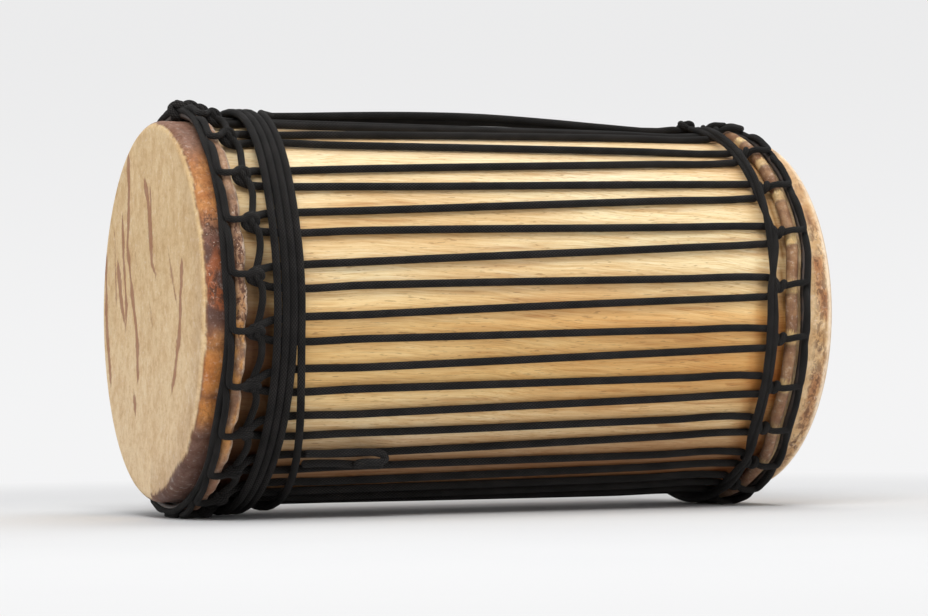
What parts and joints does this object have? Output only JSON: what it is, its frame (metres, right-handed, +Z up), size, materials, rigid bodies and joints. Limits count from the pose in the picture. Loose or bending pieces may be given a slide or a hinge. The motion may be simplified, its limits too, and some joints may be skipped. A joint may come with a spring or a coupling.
{
  "type": "rope-laced two-headed cylindrical drum",
  "caption": "Hollow wooden cylinder drum lying on its side, with a rawhide head on each end held by iron hoops, rope links and one continuous zigzag lacing rope",
  "frame": {"origin": "bottom centre of the drum's box as it lies on its side, on the surface that it rests on", "axes": "+X runs along the drum from the near head to the far head, +Y across it away from the viewer, +Z up"},
  "size_m": [0.496, 0.3032, 0.3106],
  "materials": {
    "shell_wood": "oiled, satin",
    "rawhide": "dry, mottled",
    "black_rope": "matte braided polyester",
    "hoop_iron": "dull rod"
  },
  "bodies": {
    "root": {"shell": "shell_wood", "near_skin": "rawhide", "far_skin": "rawhide", "near_flesh_ring": "hoop_iron", "far_flesh_ring": "hoop_iron", "near_crown_ring": "hoop_iron", "far_crown_ring": "hoop_iron", "near_cradle_rope": "black_rope", "far_cradle_rope": "black_rope", "near_cradle_line": "black_rope", "far_cradle_line": "black_rope", "lacing_rope": "black_rope", "spare_run": "black_rope", "girth_wraps": "black_rope", "tail_loop": "black_rope", "near_crown_knot": "black_rope", "near_start_knot": "black_rope", "far_tie_knot": "black_rope"}
  },
  "joints": []
}
